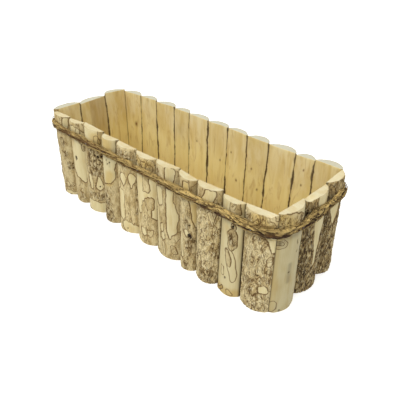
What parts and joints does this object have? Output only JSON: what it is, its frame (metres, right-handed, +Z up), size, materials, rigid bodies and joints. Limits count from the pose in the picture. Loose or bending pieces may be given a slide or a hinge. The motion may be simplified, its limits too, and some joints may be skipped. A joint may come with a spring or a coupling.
{
  "type": "wooden cachepot",
  "caption": "Long rustic planter of upright split-log slats, half debarked outside and sawn flat inside, tied below the rim with a twisted bast rope.",
  "frame": {"origin": "on the ground under the middle of the pot", "axes": "+X along the front wall to the right as seen from the front, +Y towards the back wall, +Z up"},
  "size_m": [0.5146, 0.1926, 0.1612],
  "materials": {
    "split_log": "raw, half debarked",
    "plank": "rough sawn",
    "nail_steel": "dull",
    "bast_rope": "rough fibre"
  },
  "bodies": {
    "root": {"front_slat_01": "split_log", "front_slat_02": "split_log", "front_slat_03": "split_log", "front_slat_04": "split_log", "front_slat_05": "split_log", "front_slat_06": "split_log", "front_slat_07": "split_log", "front_slat_08": "split_log", "front_slat_09": "split_log", "front_slat_10": "split_log", "front_slat_11": "split_log", "back_slat_01": "split_log", "back_slat_02": "split_log", "back_slat_03": "split_log", "back_slat_04": "split_log", "back_slat_05": "split_log", "back_slat_06": "split_log", "back_slat_07": "split_log", "back_slat_08": "split_log", "back_slat_09": "split_log", "back_slat_10": "split_log", "back_slat_11": "split_log", "left_slat_1": "split_log", "left_slat_2": "split_log", "left_slat_3": "split_log", "right_slat_1": "split_log", "right_slat_2": "split_log", "right_slat_3": "split_log", "front_plank": "plank", "back_plank": "plank", "slat_nails": "nail_steel", "rope_brads": "nail_steel", "rope": "bast_rope"}
  },
  "joints": []
}
